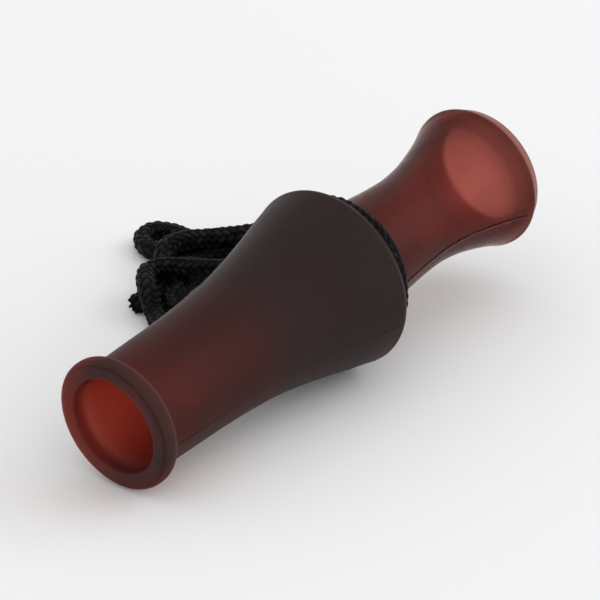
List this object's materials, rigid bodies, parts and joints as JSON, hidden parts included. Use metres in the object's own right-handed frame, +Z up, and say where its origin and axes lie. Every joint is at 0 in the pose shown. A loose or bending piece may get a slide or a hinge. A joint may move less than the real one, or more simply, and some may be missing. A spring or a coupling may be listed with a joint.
{
  "type": "predator call",
  "caption": "Closed-reed predator call: lipped barrel, belled insert with reed, tone board and wedge on an O-ring tenon, and a braided lanyard noosed round the insert's neck.",
  "frame": {"origin": "middle of the call's box without its lanyard, on the surface that the call lies on", "axes": "+X towards the bell, along the call as seen from above; +Z up; the call's own axis rises 4.81 degrees towards +X, because it rests on its lip and on its widest ring"},
  "size_m": [0.0992, 0.0712, 0.0321],
  "materials": {
    "barrel_plastic": "satin, smoky maroon, translucent",
    "insert_plastic": "satin, translucent red-brown",
    "seal_rubber": "black nitrile",
    "board_plastic": "moulded, ivory",
    "reed_film": "clear polyester film",
    "wedge_cork": "pressed cork",
    "cord_braid": "braided black polyester"
  },
  "bodies": {
    "barrel": {"barrel": "barrel_plastic"},
    "lanyard": {"lanyard_noose": "cord_braid", "lanyard_knot": "cord_braid", "lanyard_run": "cord_braid", "lanyard_hank": "cord_braid", "lanyard_loop": "cord_braid"},
    "insert": {"insert": "insert_plastic", "front_o_ring": "seal_rubber", "rear_o_ring": "seal_rubber", "tone_board": "board_plastic", "reed_heel": "reed_film", "wedge": "wedge_cork"},
    "reed": {"reed_tongue": "reed_film"}
  },
  "joints": [
    {"name": "insert_pull", "type": "slide", "parent": "barrel", "child": "lanyard", "axis": [0.9965, 0, 0.0838], "range_m": [0, 0.045]},
    {"name": "insert_twist", "type": "hinge", "parent": "lanyard", "child": "insert", "pos_m": [0.00705, 0, 0.01597], "axis": [0.9965, 0, 0.0838], "continuous": true},
    {"name": "reed_flex", "type": "hinge", "parent": "insert", "child": "reed", "pos_m": [-0.01089, 0, 0.01447], "axis": [0, 1, 0], "range_deg": [-2.8, 2.5], "stiffness_Nm_per_rad": 0.0098}
  ]
}
